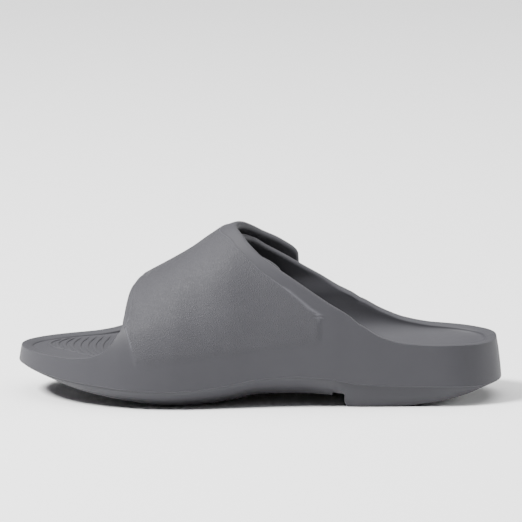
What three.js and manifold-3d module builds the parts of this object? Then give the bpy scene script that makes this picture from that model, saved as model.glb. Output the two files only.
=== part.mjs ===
// A moulded foam slide sandal for the left foot, with a strap that closes over the instep.
// Sole, side walls and both strap flaps are one moulding. The outer flap rises from the outer
// (lateral) wall, crosses the instep and lies over the inner flap, which rises from the inner
// (medial) wall. A hook pad under the outer flap holds on a loop pad on top of the inner flap.
// Frame, in millimetres: toe to -X, heel to +X, lateral side to -Y, medial side to +Y, +Z up,
// origin on the floor under the middle of the bounding box.
import * as THREE from "three";
import { mergeVertices } from "three/addons/utils/BufferGeometryUtils.js";
import Module from "manifold-3d";

// Driving dimensions
const LENGTH = 290; // sole, heel to toe
const BALL_WIDTH = 110; // sole at its widest, across the ball of the foot
const HEEL_RIM_HEIGHT = 37.2; // floor to the rim round the heel
const BED_HEIGHT = 30.5; // floor to the foot bed at the heel
const DOME_HEIGHT = 95.5; // floor to the top of the inner flap at the strap's rear edge
const RIM_WALL = 7; // thickness of the side wall at its rim
const RIM_FLATNESS = 0.22; // how high the side wall's edge is rounded, as a share of a half circle
const STRAP_WALL = 5; // thickness of the outer flap
const INNER_FLAP_WALL = 4.4; // thickness of the inner flap
const FLAP_FLATNESS = 0.75; // how high a flap's edge is rounded, as a share of a half circle
const PAD_THICKNESS = 1; // hook pad and loop pad, each
const PAD_SEAT = 0.3; // between a pad and the flap it is bonded to, and between the two pads
const FLAP_CORNER = 9; // radius of the flaps' free corners
const LIP_UNDERCUT = 1.2; // the step under the lip, where the sole's lower band starts
const FLEX_GROOVE_WIDTH = 7.2; // the groove in front of the heel pad
const FLEX_GROOVE_HEIGHT = 8.4; // from the floor to the groove's roof
const HEEL_PAD_CORNER = 3; // radius of the heel pad's lower front corner

// Where things are along the sole, as shares of its length from the heel
const HEEL_POLE = 0.14; // centre that the ribs of the heel turn about
const TOE_POLE = 0.85; // centre that the ribs of the toe turn about
const STRAP_REAR = 0.295; // rear end of the strap's base
const LATERAL_FRONT = 0.779; // front end of the outer flap's base
const MEDIAL_FRONT = 0.745; // front end of the inner flap's base
const HEEL_PAD_FRONT = 0.322; // front wall of the heel pad, where the flex groove starts
const HEEL_ROUND = { length: 0.17, power: 2.5 }; // the rounded heel, a superellipse
const TOE_ROUND = { length: 0.29, power: 1.95 }; // the rounded toe, a superellipse
const BASE_AROUND = 0.14; // how far past the base the wall thins to the strap's thickness

// The sole, a row for each station from heel to toe. at: share of the length. centre, ridge,
// lateral, medial and bevel: shares of the ball width, where ridge is the line under the
// strap's top. lip, outerRim, innerRim and ground: shares of the heel's rim height, the rims
// being those of the lateral and the medial wall. bed: share of the bed height at the heel.
// cup: power of the foot bed's rise to the wall. lift: rise of the bed on the medial side, as
// a share of the bed height.
const SOLE = [
  { at: 0.0, centre: -0.01, ridge: -0.01, lateral: 0.336, medial: 0.332, lip: 0.335, outerRim: 0.99, innerRim: 1.0, bed: 1.0, ground: 0.305, bevel: 0.03, cup: 2.2, lift: 0.0 },
  { at: 0.03, centre: -0.01, ridge: -0.01, lateral: 0.339, medial: 0.335, lip: 0.32, outerRim: 0.99, innerRim: 1.0, bed: 1.0, ground: 0.275, bevel: 0.035, cup: 2.2, lift: 0.0 },
  { at: 0.07, centre: -0.011, ridge: -0.01, lateral: 0.343, medial: 0.338, lip: 0.33, outerRim: 1.0, innerRim: 1.01, bed: 0.99, ground: 0.172, bevel: 0.045, cup: 2.2, lift: 0.0 },
  { at: 0.14, centre: -0.012, ridge: -0.01, lateral: 0.348, medial: 0.342, lip: 0.35, outerRim: 1.01, innerRim: 1.03, bed: 0.985, ground: 0.058, bevel: 0.045, cup: 2.3, lift: 0.02 },
  { at: 0.2, centre: -0.015, ridge: 0.0, lateral: 0.356, medial: 0.344, lip: 0.357, outerRim: 1.045, innerRim: 1.11, bed: 0.985, ground: 0.006, bevel: 0.045, cup: 2.4, lift: 0.05 },
  { at: 0.25, centre: -0.02, ridge: 0.01, lateral: 0.36, medial: 0.347, lip: 0.374, outerRim: 1.155, innerRim: 1.26, bed: 0.99, ground: 0.0, bevel: 0.043, cup: 2.7, lift: 0.09 },
  { at: 0.295, centre: -0.025, ridge: 0.02, lateral: 0.363, medial: 0.351, lip: 0.4, outerRim: 1.36, innerRim: 1.445, bed: 0.99, ground: 0.0, bevel: 0.045, cup: 3.0, lift: 0.12 },
  { at: 0.322, centre: -0.027, ridge: 0.025, lateral: 0.365, medial: 0.353, lip: 0.435, outerRim: 1.43, innerRim: 1.5, bed: 0.985, ground: 0.0, bevel: 0.058, cup: 3.0, lift: 0.14 },
  { at: 0.347, centre: -0.029, ridge: 0.03, lateral: 0.367, medial: 0.356, lip: 0.475, outerRim: 1.445, innerRim: 1.505, bed: 0.98, ground: 0.163, bevel: 0.085, cup: 3.1, lift: 0.15 },
  { at: 0.42, centre: -0.031, ridge: 0.04, lateral: 0.376, medial: 0.366, lip: 0.523, outerRim: 1.42, innerRim: 1.45, bed: 0.955, ground: 0.168, bevel: 0.135, cup: 3.2, lift: 0.14 },
  { at: 0.5, centre: -0.029, ridge: 0.045, lateral: 0.398, medial: 0.392, lip: 0.483, outerRim: 1.39, innerRim: 1.4, bed: 0.905, ground: 0.158, bevel: 0.14, cup: 3.4, lift: 0.09 },
  { at: 0.543, centre: -0.025, ridge: 0.045, lateral: 0.42, medial: 0.415, lip: 0.425, outerRim: 1.38, innerRim: 1.4, bed: 0.875, ground: 0.095, bevel: 0.135, cup: 3.5, lift: 0.05 },
  { at: 0.59, centre: -0.018, ridge: 0.045, lateral: 0.447, medial: 0.444, lip: 0.36, outerRim: 1.37, innerRim: 1.38, bed: 0.85, ground: 0.035, bevel: 0.13, cup: 3.6, lift: 0.02 },
  { at: 0.64, centre: -0.01, ridge: 0.043, lateral: 0.476, medial: 0.473, lip: 0.325, outerRim: 1.38, innerRim: 1.35, bed: 0.83, ground: 0.0, bevel: 0.125, cup: 3.7, lift: 0.0 },
  { at: 0.685, centre: -0.004, ridge: 0.04, lateral: 0.494, medial: 0.49, lip: 0.315, outerRim: 1.39, innerRim: 1.3, bed: 0.82, ground: 0.0, bevel: 0.12, cup: 3.8, lift: 0.0 },
  { at: 0.745, centre: 0.002, ridge: 0.035, lateral: 0.501, medial: 0.495, lip: 0.33, outerRim: 1.4, innerRim: 1.12, bed: 0.825, ground: 0.068, bevel: 0.105, cup: 3.7, lift: 0.0 },
  { at: 0.779, centre: 0.003, ridge: 0.032, lateral: 0.5, medial: 0.492, lip: 0.345, outerRim: 1.25, innerRim: 0.91, bed: 0.83, ground: 0.108, bevel: 0.095, cup: 3.5, lift: 0.0 },
  { at: 0.8, centre: 0.005, ridge: 0.03, lateral: 0.498, medial: 0.489, lip: 0.357, outerRim: 1.02, innerRim: 0.845, bed: 0.84, ground: 0.135, bevel: 0.085, cup: 3.3, lift: 0.0 },
  { at: 0.825, centre: 0.008, ridge: 0.03, lateral: 0.497, medial: 0.486, lip: 0.372, outerRim: 0.875, innerRim: 0.805, bed: 0.845, ground: 0.17, bevel: 0.075, cup: 3.2, lift: 0.0 },
  { at: 0.855, centre: 0.012, ridge: 0.03, lateral: 0.498, medial: 0.482, lip: 0.393, outerRim: 0.805, innerRim: 0.78, bed: 0.85, ground: 0.215, bevel: 0.068, cup: 3.0, lift: 0.0 },
  { at: 0.9, centre: 0.02, ridge: 0.032, lateral: 0.5, medial: 0.475, lip: 0.425, outerRim: 0.775, innerRim: 0.775, bed: 0.86, ground: 0.295, bevel: 0.06, cup: 3.0, lift: 0.0 },
  { at: 0.95, centre: 0.035, ridge: 0.04, lateral: 0.505, medial: 0.463, lip: 0.473, outerRim: 0.775, innerRim: 0.775, bed: 0.87, ground: 0.412, bevel: 0.05, cup: 3.0, lift: 0.0 },
  { at: 1.0, centre: 0.05, ridge: 0.05, lateral: 0.51, medial: 0.45, lip: 0.525, outerRim: 0.78, innerRim: 0.78, bed: 0.88, ground: 0.495, bevel: 0.03, cup: 3.0, lift: 0.0 },
];

// The dome that the walls and the strap follow. height: share of the dome height. upright and
// broad: how far the wall stays upright and the top stays flat, as shares of the height and
// of the half width. lean: tangent of the wall's slope at the lip.
const DOME = [
  { at: 0.0, height: 0.935, upright: 0.5, broad: 0.6, lean: 0.07 },
  { at: 0.2, height: 1.02, upright: 0.52, broad: 0.58, lean: 0.06 },
  { at: 0.293, height: 1.07, upright: 0.55, broad: 0.58, lean: 0.05 },
  { at: 0.362, height: 1.085, upright: 0.55, broad: 0.59, lean: 0.05 },
  { at: 0.431, height: 1.07, upright: 0.55, broad: 0.6, lean: 0.06 },
  { at: 0.5, height: 1.025, upright: 0.56, broad: 0.6, lean: 0.07 },
  { at: 0.55, height: 0.995, upright: 0.58, broad: 0.6, lean: 0.07 },
  { at: 0.584, height: 0.932, upright: 0.6, broad: 0.62, lean: 0.08 },
  { at: 0.625, height: 0.842, upright: 0.62, broad: 0.64, lean: 0.09 },
  { at: 0.666, height: 0.765, upright: 0.67, broad: 0.68, lean: 0.09 },
  { at: 0.707, height: 0.693, upright: 0.73, broad: 0.72, lean: 0.1 },
  { at: 0.748, height: 0.622, upright: 0.8, broad: 0.77, lean: 0.1 },
  { at: 0.79, height: 0.575, upright: 0.86, broad: 0.82, lean: 0.1 },
  { at: 0.86, height: 0.54, upright: 0.85, broad: 0.85, lean: 0.1 },
  { at: 1.0, height: 0.54, upright: 0.8, broad: 0.8, lean: 0.15 },
];

// Edges of the two flaps. up: share of the way from the flap's base on the wall to its free
// end. rear and front: where its edges are, as shares of the sole's length. around: where the
// flap ends, 0 at the lateral lip, 1 on the ridge and 2 at the medial lip.
const OUTER_FLAP = {
  endRear: 1.68,
  endFront: 1.5,
  edges: [
    { up: 0.0, rear: 0.295, front: 0.779 },
    { up: 0.046, rear: 0.354, front: 0.7745 },
    { up: 0.126, rear: 0.416, front: 0.7705 },
    { up: 0.23, rear: 0.478, front: 0.765 },
    { up: 0.305, rear: 0.509, front: 0.759 },
    { up: 0.385, rear: 0.531, front: 0.752 },
    { up: 0.51, rear: 0.547, front: 0.742 },
    { up: 0.58, rear: 0.543, front: 0.739 },
    { up: 0.66, rear: 0.53, front: 0.736 },
    { up: 0.745, rear: 0.502, front: 0.732 },
    { up: 0.82, rear: 0.46, front: 0.727 },
    { up: 0.88, rear: 0.43, front: 0.721 },
    { up: 1.0, rear: 0.428, front: 0.708 },
  ],
};
const INNER_FLAP = {
  endRear: 0.5,
  endFront: 0.6,
  edges: [
    { up: 0.0, rear: 0.295, front: 0.745 },
    { up: 0.032, rear: 0.338, front: 0.737 },
    { up: 0.082, rear: 0.377, front: 0.734 },
    { up: 0.162, rear: 0.426, front: 0.7335 },
    { up: 0.25, rear: 0.468, front: 0.735 },
    { up: 0.32, rear: 0.494, front: 0.736 },
    { up: 0.39, rear: 0.511, front: 0.735 },
    { up: 0.46, rear: 0.528, front: 0.732 },
    { up: 0.56, rear: 0.54, front: 0.727 },
    { up: 0.66, rear: 0.542, front: 0.722 },
    { up: 0.76, rear: 0.529, front: 0.718 },
    { up: 0.84, rear: 0.506, front: 0.714 },
    { up: 0.9, rear: 0.478, front: 0.71 },
    { up: 0.95, rear: 0.46, front: 0.707 },
    { up: 1.0, rear: 0.452, front: 0.705 },
  ],
};

// The pads, as shares of the flap that each is bonded to. up: from the flap's base to its free
// end. along: from its rear edge to its front edge.
const HOOK_PAD = { up: [0.5, 0.97], along: [0.09, 0.8] };
const LOOP_PAD = { up: [0.3, 0.93], along: [0.06, 0.8] };

// How finely the surfaces are divided
const FAN_STEPS = 7; // ribs in a quarter turn of heel or toe
const BED_STEPS = 9; // from the foot bed's middle to its rim
const WALL_STEPS = 4; // from the rim down to the lip
const FLOOR_STEPS = 4; // from the ground edge to the middle
const RIM_STEPS = 4; // across a rounded edge
const FLAP_STEPS = 24; // from a flap's base to its free corners
const CORNER_STEPS = 4; // round a free corner
const PAD_STEPS = { up: 18, along: 9 }; // over a pad
const STATIONS = [
  { from: HEEL_POLE, to: STRAP_REAR, steps: 7 },
  { from: STRAP_REAR, to: HEEL_PAD_FRONT, steps: 2 },
  { from: HEEL_PAD_FRONT, to: MEDIAL_FRONT, steps: 17 },
  { from: MEDIAL_FRONT, to: LATERAL_FRONT, steps: 3 },
  { from: LATERAL_FRONT, to: TOE_POLE, steps: 4 },
];

const FLAP_STACK = STRAP_WALL + 2 * PAD_THICKNESS + 3 * PAD_SEAT;
const RIM_CROWN = (RIM_FLATNESS * RIM_WALL) / 2;

// A monotone cubic through one column of a table, so that no value overshoots its rows.
function column(rows, key, along = "at") {
  const n = rows.length;
  const x = rows.map((row) => row[along]);
  const y = rows.map((row) => row[key]);
  const slope = x.slice(1).map((end, i) => (y[i + 1] - y[i]) / (end - x[i]));
  const tangent = x.map((_, i) => {
    if (i === 0) return slope[0];
    if (i === n - 1) return slope[n - 2];
    if (slope[i - 1] * slope[i] <= 0) return 0;
    const before = x[i] - x[i - 1];
    const after = x[i + 1] - x[i];
    const total = 3 * (before + after);
    return total / ((2 * after + before) / slope[i - 1] + (after + 2 * before) / slope[i]);
  });
  return (at) => {
    const where = Math.min(Math.max(at, x[0]), x[n - 1]);
    const i = Math.min(Math.max(x.findIndex((value) => value > where), 1), n - 1) - 1;
    const k = where >= x[n - 1] ? n - 2 : i;
    const h = x[k + 1] - x[k];
    const s = (where - x[k]) / h;
    return (
      (1 + 2 * s) * (1 - s) ** 2 * y[k] +
      s * (1 - s) ** 2 * h * tangent[k] +
      s * s * (3 - 2 * s) * y[k + 1] +
      s * s * (s - 1) * h * tangent[k + 1]
    );
  };
}

function columns(rows, along) {
  const keys = Object.keys(rows[0]).filter((key) => key !== along);
  return Object.fromEntries(keys.map((key) => [key, column(rows, key, along)]));
}

const sole = columns(SOLE, "at");
const dome = columns(DOME, "at");
const outerEdges = columns(OUTER_FLAP.edges, "up");
const innerEdges = columns(INNER_FLAP.edges, "up");

const mix = (a, b, share) => a + (b - a) * share;
const smooth = (share) => {
  const s = Math.min(Math.max(share, 0), 1);
  return s * s * (3 - 2 * s);
};
const xAt = (at) => LENGTH * (0.5 - at);
const atX = (x) => 0.5 - x / LENGTH;
const groundAt = (x) => HEEL_RIM_HEIGHT * sole.ground(atX(x));
const LATERAL = -1;
const MEDIAL = 1;

// How far the rounded ends draw the outline in, from 0 at the very end to 1.
function endRounding(at) {
  const quarter = (fromEnd, { length, power }) => {
    const share = Math.min(Math.max(1 - fromEnd / length, 0), 1);
    return (1 - share ** power) ** (1 / power);
  };
  return quarter(at, HEEL_ROUND) * quarter(1 - at, TOE_ROUND);
}

// The sole's widest line in plan, on one side.
function outline(at, side) {
  const half = side === LATERAL ? sole.lateral(at) : sole.medial(at);
  const y = BALL_WIDTH * (sole.centre(at) + side * half * endRounding(at));
  return new THREE.Vector2(xAt(at), y);
}

// A rib is a half section of the sandal: it starts on the spine and goes out to the outline.
// Its neighbours are the ribs a small step to either side of it.
function ribThrough(spine, at, side, neighbours) {
  const out = outline(at, side).sub(spine);
  return { spine, at, side, neighbours, reach: out.length(), direction: out.normalize() };
}

function straightRib(at, side) {
  const spine = new THREE.Vector2(xAt(at), BALL_WIDTH * sole.ridge(at));
  const neighbours = () => [straightRib(at - 0.002, side), straightRib(at + 0.002, side)];
  return ribThrough(spine, at, side, neighbours);
}

// The rib that leaves a pole at an angle: 0 to the lateral side, half a turn to the medial.
function fanRib(pole, end, angle) {
  const spine = new THREE.Vector2(xAt(pole), BALL_WIDTH * sole.ridge(pole));
  const place = (s) => (s <= 1 ? [mix(pole, end, s), LATERAL] : [mix(end, pole, s - 1), MEDIAL]);
  let low = -0.2;
  let high = 2.2;
  for (let i = 0; i < 50; i++) {
    const middle = (low + high) / 2;
    const ray = outline(...place(middle)).sub(spine);
    const ahead = end > pole ? -ray.x : ray.x;
    const turned = Math.atan2(ahead, -ray.y);
    const turn = turned < -Math.PI / 2 ? turned + 2 * Math.PI : turned;
    if (turn < angle) low = middle;
    else high = middle;
  }
  const neighbours = () => [fanRib(pole, end, angle - 0.02), fanRib(pole, end, angle + 0.02)];
  return ribThrough(spine, ...place((low + high) / 2), neighbours);
}

const inRib = (rib, distance, z) =>
  new THREE.Vector3(
    rib.spine.x + rib.direction.x * distance,
    rib.spine.y + rib.direction.y * distance,
    z,
  );

// The rib's outer wall: up from the lip and over to the ridge, as share goes from 0 to 1.
function wall(rib, share) {
  const low = HEEL_RIM_HEIGHT * sole.lip(rib.at);
  const high = DOME_HEIGHT * dome.height(rib.at) - low;
  const upright = dome.upright(rib.at);
  const distances = [
    rib.reach,
    rib.reach - dome.lean(rib.at) * upright * high,
    rib.reach * dome.broad(rib.at),
    0,
  ];
  const heights = [low, low + upright * high, low + high, low + high];
  const s = share;
  const weights = [(1 - s) ** 3, 3 * (1 - s) ** 2 * s, 3 * (1 - s) * s * s, s ** 3];
  const sum = (values) => values.reduce((total, value, i) => total + value * weights[i], 0);
  return { distance: sum(distances), z: sum(heights) };
}

function wallShareAt(rib, z) {
  let low = 0;
  let high = 1;
  for (let i = 0; i < 40; i++) {
    const middle = (low + high) / 2;
    if (wall(rib, middle).z < z) low = middle;
    else high = middle;
  }
  return (low + high) / 2;
}

function wallPoint(rib, share) {
  const { distance, z } = wall(rib, share);
  return inRib(rib, distance, z);
}

function wallNormal(rib, share) {
  const [before, after] = rib.neighbours();
  const along = wallPoint(after, share).sub(wallPoint(before, share));
  const step = 0.005;
  const up = wallPoint(rib, Math.min(share + step, 1)).sub(wallPoint(rib, share - step));
  const normal = along.cross(up).normalize();
  const outwards = new THREE.Vector3(rib.direction.x, rib.direction.y, 1);
  return normal.dot(outwards) < 0 ? normal.negate() : normal;
}

// The rib and the share of its wall where something lies on the dome that the strap follows:
// around is 0 at the lateral lip, 1 on the ridge and 2 at the medial lip.
function domePlace(x, around) {
  if (around <= 1) return [straightRib(atX(x), LATERAL), around];
  return [straightRib(atX(x), MEDIAL), 2 - around];
}

const rimHeight = (rib) =>
  HEEL_RIM_HEIGHT * (rib.side === LATERAL ? sole.outerRim(rib.at) : sole.innerRim(rib.at));
const baseShare = (x, side) => {
  const rib = straightRib(atX(x), side);
  return wallShareAt(rib, rimHeight(rib) - RIM_CROWN);
};

// The outer and inner point where a rib's wall ends below its rounded rim.
function rimPair(rib) {
  const share = wallShareAt(rib, rimHeight(rib) - RIM_CROWN);
  const outer = wallPoint(rib, share);
  const inner = outer.clone().addScaledVector(wallNormal(rib, share), -RIM_WALL);
  return { outer, inner, share, flatness: RIM_FLATNESS };
}

// The foot bed and inner wall of a rib, from the spine out to the rim.
function bedCurve(rib) {
  const { inner } = rimPair(rib);
  const points = [];
  for (let j = 0; j <= BED_STEPS; j++) {
    const turn = ((j / BED_STEPS) * Math.PI) / 2;
    points.push(bedPoint(rib, turn, inner));
  }
  return points;
}

function bedPoint(rib, turn, top) {
  const power = 2 / sole.cup(rib.at);
  const outwards = Math.sin(turn) ** power;
  const rise = 1 - Math.cos(turn) ** power;
  const low = bedMiddle(rib.spine.x + rib.direction.x * rib.reach * outwards);
  const sideLift = rib.side === MEDIAL ? sole.lift(rib.at) : 0;
  const lift = BED_HEIGHT * sideLift * outwards ** 3 * (1 - rise);
  const z = mix(low, top.z, rise) + lift;
  const topReach = Math.hypot(top.x - rib.spine.x, top.y - rib.spine.y);
  const outerTop = wall(rib, wallShareAt(rib, top.z)).distance;
  const outerHere = wall(rib, wallShareAt(rib, Math.max(z, wall(rib, 0).z))).distance;
  const flare = Math.min(outerHere - outerTop, 0.5 * RIM_WALL);
  const flat = inRib(rib, outwards * (topReach + flare * (1 - rise)), z);
  const planarTop = inRib(rib, topReach, top.z);
  return flat.add(top.clone().sub(planarTop).multiplyScalar(outwards ** 4));
}

const bedMiddle = (x) => BED_HEIGHT * sole.bed(atX(x));

// The outside of a rib, from the rim down over the lip and bevel and in to the spine.
function outsideCurve(rib) {
  const { share } = rimPair(rib);
  const points = [];
  for (let j = 0; j <= WALL_STEPS; j++) {
    points.push(wallPoint(rib, share * (1 - j / WALL_STEPS)));
  }
  const lip = wall(rib, 0);
  const bevel = BALL_WIDTH * sole.bevel(rib.at);
  const foot = rib.reach - bevel;
  const at = (distance) => rib.spine.x + rib.direction.x * distance;
  const tread = Math.min(LIP_UNDERCUT, 0.4 * (lip.z - groundAt(at(foot))));
  points.push(inRib(rib, lip.distance - LIP_UNDERCUT, lip.z - tread));
  const band = mix(lip.distance - LIP_UNDERCUT, foot, 0.38);
  points.push(inRib(rib, band, mix(lip.z - tread, groundAt(at(foot)), 0.5)));
  points.push(inRib(rib, foot + 0.6, groundAt(at(foot)) + tread));
  for (let j = 0; j <= FLOOR_STEPS; j++) {
    const distance = (foot - tread) * (1 - j / FLOOR_STEPS);
    points.push(inRib(rib, distance, groundAt(at(distance))));
  }
  return points;
}

// A flap is a grid of rows, from its base on the wall to its free end, each row running from
// its rear edge to its front edge.
function flapRows() {
  const corner = 1 - CORNER_STEPS * 0.012;
  const rows = [];
  for (let i = 0; i <= FLAP_STEPS; i++) rows.push(corner * (i / FLAP_STEPS));
  for (let i = 1; i <= CORNER_STEPS; i++) {
    rows.push(mix(corner, 1, Math.sin(((i / CORNER_STEPS) * Math.PI) / 2)));
  }
  return { rows, corner };
}

function flapLift(x, around) {
  const start = baseShare(x, LATERAL) + 0.05;
  return FLAP_STACK * smooth((around - start) / (0.95 - start));
}

function flapPoint(flap, x, around) {
  const place = domePlace(x, around);
  const normal = wallNormal(...place);
  const fromBase = flap.side === LATERAL ? around : 2 - around;
  const base = baseShare(x, flap.side);
  const thin = smooth((fromBase - base) / BASE_AROUND);
  const thickness = mix(RIM_WALL, flap.wall, thin);
  const lift = flapLift(x, around) - (flap.side === LATERAL ? 0 : FLAP_STACK);
  const outer = wallPoint(...place).addScaledVector(normal, lift);
  const inner = outer.clone().addScaledVector(normal, -thickness);
  return { outer, inner, flatness: mix(RIM_FLATNESS, FLAP_FLATNESS, thin) };
}

function flapStation(flap, up, along) {
  const { corner } = flapRows();
  const past = Math.max((up - corner) / (1 - corner), 0);
  const inset = (FLAP_CORNER / LENGTH) * (1 - Math.sqrt(1 - Math.min(past, 1) ** 2));
  return mix(flap.edges.rear(up) + inset, flap.edges.front(up) - inset, along);
}

function flapAround(flap, x, up) {
  const base = baseShare(x, flap.side);
  const start = flap.side === LATERAL ? base : 2 - base;
  const at = atX(x);
  const span = (at - flap.edges.rear(1)) / (flap.edges.front(1) - flap.edges.rear(1));
  const end = mix(flap.endRear, flap.endFront, Math.min(Math.max(span, -0.3), 1.3));
  return mix(start, end, up);
}

function flapGrid(flap, alongShares) {
  return flapRows().rows.map((up) =>
    alongShares.map((along) => {
      const x = xAt(flapStation(flap, up, along));
      return flapPoint(flap, x, flapAround(flap, x, up));
    }),
  );
}

const outerFlap = {
  side: LATERAL,
  wall: STRAP_WALL,
  edges: outerEdges,
  endRear: OUTER_FLAP.endRear,
  endFront: OUTER_FLAP.endFront,
};
const innerFlap = {
  side: MEDIAL,
  wall: INNER_FLAP_WALL,
  edges: innerEdges,
  endRear: INNER_FLAP.endRear,
  endFront: INNER_FLAP.endFront,
};

// Collects triangles from grids of points, to be merged into one closed mesh.
class Skin {
  constructor() {
    this.positions = [];
  }
  triangle(a, b, c) {
    for (const p of [a, b, c]) this.positions.push(p.x, p.y, p.z);
  }
  grid(rows, flipped = false) {
    for (let i = 0; i + 1 < rows.length; i++) {
      for (let j = 0; j + 1 < rows[i].length; j++) {
        const [a, b, c, d] = [rows[i][j], rows[i + 1][j], rows[i + 1][j + 1], rows[i][j + 1]];
        if (flipped) {
          this.triangle(a, c, b);
          this.triangle(a, d, c);
        } else {
          this.triangle(a, b, c);
          this.triangle(a, c, d);
        }
      }
    }
  }
  geometry() {
    const loose = new THREE.BufferGeometry();
    loose.setAttribute("position", new THREE.Float32BufferAttribute(this.positions, 3));
    const merged = mergeVertices(loose, 1e-3);
    const index = merged.index.array;
    const kept = [];
    for (let i = 0; i < index.length; i += 3) {
      const [a, b, c] = [index[i], index[i + 1], index[i + 2]];
      if (a !== b && b !== c && a !== c) kept.push(a, b, c);
    }
    merged.setIndex(kept);
    return merged;
  }
}

// The ribs round the sole: heel, lateral side, toe and medial side, back to the heel.
function ribLoop() {
  const stations = [];
  for (const { from, to, steps } of STATIONS) {
    for (let i = stations.length ? 1 : 0; i <= steps; i++) stations.push(mix(from, to, i / steps));
  }
  const angles = Array.from({ length: 2 * FAN_STEPS - 1 }, (_, i) => i + 1).map(
    (i) => (i / FAN_STEPS) * (Math.PI / 2),
  );
  const fan = (pole, end) => angles.map((angle) => fanRib(pole, end, angle));
  return [
    ...stations.map((at) => straightRib(at, LATERAL)),
    ...fan(TOE_POLE, 1),
    ...stations.map((at) => straightRib(at, MEDIAL)).reverse(),
    ...fan(HEEL_POLE, 0).reverse(),
  ];
}

// The half round that closes an edge between its outer and its inner point.
function edgeArc(pair, outwards) {
  const middle = pair.outer.clone().add(pair.inner).multiplyScalar(0.5);
  const across = pair.outer.clone().sub(middle);
  const bulge = pair.flatness * across.length();
  return Array.from({ length: RIM_STEPS + 1 }, (_, k) => {
    if (k === 0) return pair.outer;
    if (k === RIM_STEPS) return pair.inner;
    const turn = (k / RIM_STEPS) * Math.PI;
    return middle
      .clone()
      .addScaledVector(across, Math.cos(turn))
      .addScaledVector(outwards, bulge * Math.sin(turn));
  });
}

function mouldedBody() {
  const skin = new Skin();
  const ribs = ribLoop();
  const closed = [...ribs, ribs[0]];
  skin.grid(closed.map(bedCurve));
  skin.grid(closed.map(outsideCurve));

  const frontOf = (side) => (side === LATERAL ? LATERAL_FRONT : MEDIAL_FRONT);
  const isBase = (rib, side) =>
    rib.side === side && rib.at > STRAP_REAR - 1e-6 && rib.at < frontOf(side) + 1e-6;
  const baseShares = (side) =>
    ribs
      .filter((rib) => isBase(rib, side))
      .map((rib) => (rib.at - STRAP_REAR) / (frontOf(side) - STRAP_REAR))
      .sort((a, b) => a - b);

  const flapEdge = (grid) => {
    const last = grid[0].length - 1;
    const rear = grid.map((row) => row[0]);
    const end = grid[grid.length - 1].slice(1, last);
    const front = grid.map((row) => row[last]).reverse();
    return [...rear, ...end, ...front];
  };
  const outerGrid = flapGrid(outerFlap, baseShares(LATERAL));
  const innerGrid = flapGrid(innerFlap, baseShares(MEDIAL));
  for (const [grid, flipped] of [[outerGrid, false], [innerGrid, true]]) {
    skin.grid(grid.map((row) => row.map((pair) => pair.outer)), flipped);
    skin.grid(grid.map((row) => row.map((pair) => pair.inner)), !flipped);
  }

  const loop = [];
  let placed = null;
  for (const rib of ribs) {
    const side = [LATERAL, MEDIAL].find((s) => isBase(rib, s));
    if (side === undefined) loop.push(rimPair(rib));
    else if (placed !== side) {
      const edge = flapEdge(side === LATERAL ? outerGrid : innerGrid);
      loop.push(...(side === LATERAL ? edge : edge.reverse()));
      placed = side;
    }
  }
  const middle = (pair) => pair.outer.clone().add(pair.inner).multiplyScalar(0.5);
  const arcs = loop.map((pair, i) => {
    const before = middle(loop[(i + loop.length - 1) % loop.length]);
    const after = middle(loop[(i + 1) % loop.length]);
    const across = pair.outer.clone().sub(pair.inner);
    return edgeArc(pair, after.sub(before).cross(across).normalize());
  });
  skin.grid([...arcs, arcs[0]], true);
  return skin.geometry();
}

// A pad between the flaps, bonded to one of them: a slab of rows between two distances from
// the outer face of the inner flap.
function pad(flap, { up, along }, low, high) {
  const skin = new Skin();
  const layer = (distance) => {
    const rows = [];
    for (let i = 0; i <= PAD_STEPS.up; i++) {
      const upHere = mix(...up, i / PAD_STEPS.up);
      const row = [];
      for (let j = 0; j <= PAD_STEPS.along; j++) {
        const x = xAt(flapStation(flap, upHere, mix(...along, j / PAD_STEPS.along)));
        const around = flapAround(flap, x, upHere);
        const place = domePlace(x, around);
        const lift = flapLift(x, around) - FLAP_STACK + distance;
        row.push(wallPoint(...place).addScaledVector(wallNormal(...place), lift));
      }
      rows.push(row);
    }
    return flap.side === LATERAL ? rows : rows.reverse();
  };
  const [bottom, top] = [layer(low), layer(high)];
  skin.grid(top);
  skin.grid(bottom, true);
  const rim = (rows) => [
    ...rows[0].slice(0, -1),
    ...rows.slice(0, -1).map((row) => row[row.length - 1]),
    ...rows[rows.length - 1].slice(1).reverse(),
    ...rows.slice(1).map((row) => row[0]).reverse(),
  ];
  const [below, above] = [rim(bottom), rim(top)];
  skin.grid([[...below, below[0]], [...above, above[0]]]);
  return skin.geometry();
}

const wasm = await Module();
wasm.setup();

function toSolid(geometry) {
  return new wasm.Manifold(
    new wasm.Mesh({
      numProp: 3,
      vertProperties: new Float32Array(geometry.attributes.position.array),
      triVerts: new Uint32Array(geometry.index.array),
    }),
  );
}

function toGeometry(solid) {
  const mesh = solid.getMesh();
  const geometry = new THREE.BufferGeometry();
  geometry.setAttribute("position", new THREE.BufferAttribute(new Float32Array(mesh.vertProperties), 3));
  geometry.setIndex(new THREE.BufferAttribute(new Uint32Array(mesh.triVerts), 1));
  return geometry;
}

function indexed(geometry) {
  geometry.deleteAttribute("normal");
  geometry.deleteAttribute("uv");
  return mergeVertices(geometry);
}

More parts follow.
